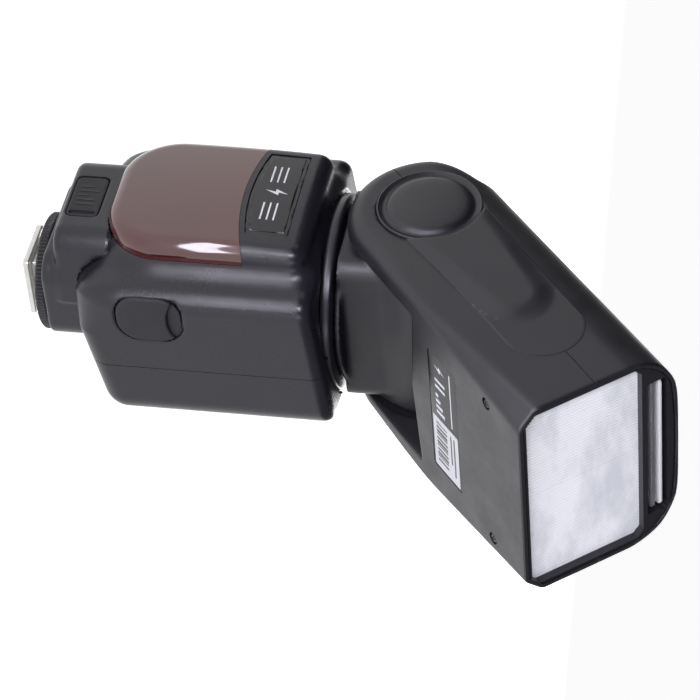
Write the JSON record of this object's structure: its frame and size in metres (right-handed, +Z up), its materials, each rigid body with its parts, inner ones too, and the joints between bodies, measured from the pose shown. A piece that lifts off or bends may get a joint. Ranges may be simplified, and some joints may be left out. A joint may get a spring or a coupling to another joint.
{
  "type": "speedlight flash",
  "caption": "Battery-powered camera flash with a shoe foot, a body with a dark red front window, and a head that swivels, tilts and zooms.",
  "frame": {"origin": "centre of the underside of the shoe foot, where it rests in a camera's accessory shoe", "axes": "+Z up the body towards the head, -Y the side with the red window, +X the side with the sync port; the head is stored swivelled a quarter turn and tilted towards +X"},
  "size_m": [0.1218, 0.0764, 0.2059],
  "materials": {
    "shell_black": "fine moulded grain",
    "rubber_black": "soft matt",
    "ring_black": "ribbed, semi-matt",
    "window_red": "glossy, deep red-brown tint",
    "plate_black": null,
    "steel": "plated",
    "brass": "bright",
    "screen": "glossy display cover",
    "board_green": "solder mask",
    "sleeve_dark": "shrink sleeve",
    "copper": "enamelled winding",
    "cell_wrap": "printed-free wrap",
    "inner_plastic": "moulded",
    "lens_clear": "clear moulded lens",
    "reflector": "polished",
    "card_white": "matt white",
    "label_grey": "silver and dark label"
  },
  "bodies": {
    "body": {"front_shell": "shell_black", "rear_shell": "shell_black", "front_window": "window_red", "name_plate": "plate_black", "assist_lamp": "window_red", "shoe_base": "shell_black", "shoe_foot": "steel", "power_socket": "inner_plastic", "sync_socket": "brass", "lcd_window": "screen", "lcd_panel": "inner_plastic", "main_board": "board_green", "main_capacitor": "sleeve_dark", "transformer": "copper", "battery_holder": "inner_plastic", "battery_cell_1": "cell_wrap", "battery_cell_2": "cell_wrap", "battery_cell_3": "cell_wrap", "battery_cell_4": "cell_wrap", "battery_contact_plate": "steel", "swivel_collar": "shell_black"},
    "locking_ring": {"locking_ring": "ring_black"},
    "lock_washer": {"lock_washer": "steel"},
    "contact_pin": {"contact_pin": "brass"},
    "side_port_cover": {"side_port_cover": "rubber_black"},
    "power_port_cover": {"power_port_cover": "rubber_black"},
    "mode_button": {"mode_button": "rubber_black"},
    "zoom_button": {"zoom_button": "rubber_black"},
    "light_button": {"light_button": "rubber_black"},
    "four_way_pad": {"four_way_pad": "rubber_black"},
    "ok_button": {"ok_button": "rubber_black"},
    "test_button": {"test_button": "rubber_black"},
    "power_switch": {"power_switch": "rubber_black"},
    "door_slider": {"door_hinge_pin": "steel"},
    "battery_door": {"battery_door": "shell_black"},
    "neck": {"swivel_neck": "shell_black", "tilt_shaft": "steel", "swivel_retainer": "steel"},
    "head": {"head_lower_shell": "shell_black", "head_upper_shell": "shell_black", "front_bezel": "shell_black", "fresnel_lens": "lens_clear", "pivot_cap_left": "shell_black", "pivot_cap_right": "shell_black", "side_arm_left": "shell_black", "side_arm_right": "shell_black", "tilt_bush_left": "brass", "tilt_bush_right": "brass", "label_plate": "label_grey", "zoom_motor": "steel", "guide_rod_left": "steel", "guide_rod_right": "steel"},
    "lamp": {"lamp_carriage": "inner_plastic", "reflector": "reflector", "xenon_tube": "lens_clear"},
    "lead_screw": {"lead_screw": "steel"},
    "wide_panel": {"wide_panel": "lens_clear"},
    "bounce_card": {"bounce_card": "card_white"}
  },
  "joints": [
    {"name": "head_swivel", "type": "hinge", "parent": "body", "child": "neck", "pos_m": [0, 0, 0.1], "axis": [0, 0, 1], "range_deg": [-180, 90]},
    {"name": "head_tilt", "type": "hinge", "parent": "neck", "child": "head", "pos_m": [0, 0, 0.126], "axis": [0, 1, 0], "range_deg": [-50, 39.8]},
    {"name": "card_pull", "type": "slide", "parent": "head", "child": "bounce_card", "axis": [0.7683, 0, 0.6401], "range_m": [0, 0.045]},
    {"name": "panel_pull", "type": "slide", "parent": "head", "child": "wide_panel", "axis": [0.7683, 0, 0.6401], "range_m": [0, 0.04]},
    {"name": "screw_turn", "type": "hinge", "parent": "head", "child": "lead_screw", "pos_m": [0.04802, -0.028, 0.14648], "axis": [0.7683, 0, 0.6401], "range_deg": [0, 1441]},
    {"name": "lamp_zoom", "type": "slide", "parent": "head", "child": "lamp", "axis": [0.7683, 0, 0.6401], "range_m": [0, 0.02]},
    {"name": "ring_turn", "type": "hinge", "parent": "body", "child": "locking_ring", "pos_m": [0, 0, 0.007], "axis": [0, 0, 1], "range_deg": [0, 360]},
    {"name": "washer_clamp", "type": "slide", "parent": "body", "child": "lock_washer", "axis": [0, 0, -1], "range_m": [0, 0.001], "stiffness_N_per_m": 1, "springref_m": -0.0103},
    {"name": "pin_press", "type": "slide", "parent": "body", "child": "contact_pin", "axis": [0, 0, 1], "range_m": [0, 0.0002], "stiffness_N_per_m": 100},
    {"name": "side_port_flap", "type": "hinge", "parent": "body", "child": "side_port_cover", "pos_m": [0.0366, -0.0158, 0.0368], "axis": [0, 1, 0], "range_deg": [0, 110]},
    {"name": "power_port_flap", "type": "hinge", "parent": "body", "child": "power_port_cover", "pos_m": [0, -0.0313, 0.0162], "axis": [1, 0, 0], "range_deg": [0, 110]},
    {"name": "mode_button_press", "type": "slide", "parent": "body", "child": "mode_button", "axis": [0, -1, 0], "range_m": [0, 0.0006], "stiffness_N_per_m": 200},
    {"name": "zoom_button_press", "type": "slide", "parent": "body", "child": "zoom_button", "axis": [0, -1, 0], "range_m": [0, 0.0006], "stiffness_N_per_m": 200},
    {"name": "light_button_press", "type": "slide", "parent": "body", "child": "light_button", "axis": [0, -1, 0], "range_m": [0, 0.0006], "stiffness_N_per_m": 200},
    {"name": "four_way_pad_press", "type": "slide", "parent": "body", "child": "four_way_pad", "axis": [0, -1, 0], "range_m": [0, 0.0006], "stiffness_N_per_m": 200},
    {"name": "ok_button_press", "type": "slide", "parent": "body", "child": "ok_button", "axis": [0, -1, 0], "range_m": [0, 0.0006], "stiffness_N_per_m": 200},
    {"name": "test_button_press", "type": "slide", "parent": "body", "child": "test_button", "axis": [0, -1, 0], "range_m": [0, 0.0006], "stiffness_N_per_m": 200},
    {"name": "power_switch_slide", "type": "slide", "parent": "body", "child": "power_switch", "axis": [0, 0, 1], "range_m": [0, 0.0035]},
    {"name": "door_slide", "type": "slide", "parent": "body", "child": "door_slider", "axis": [0, 0, -1], "range_m": [0, 0.004]},
    {"name": "door_swing", "type": "hinge", "parent": "door_slider", "child": "battery_door", "pos_m": [-0.03415, 0.0176, 0.059], "axis": [0, 0, -1], "range_deg": [0, 80]}
  ],
  "couplings": [
    {"joint": "screw_turn", "follows": "lamp_zoom", "rad_per_m": 1256.6},
    {"joint": "washer_clamp", "follows": "ring_turn", "m_per_rad": 0.00015915}
  ]
}
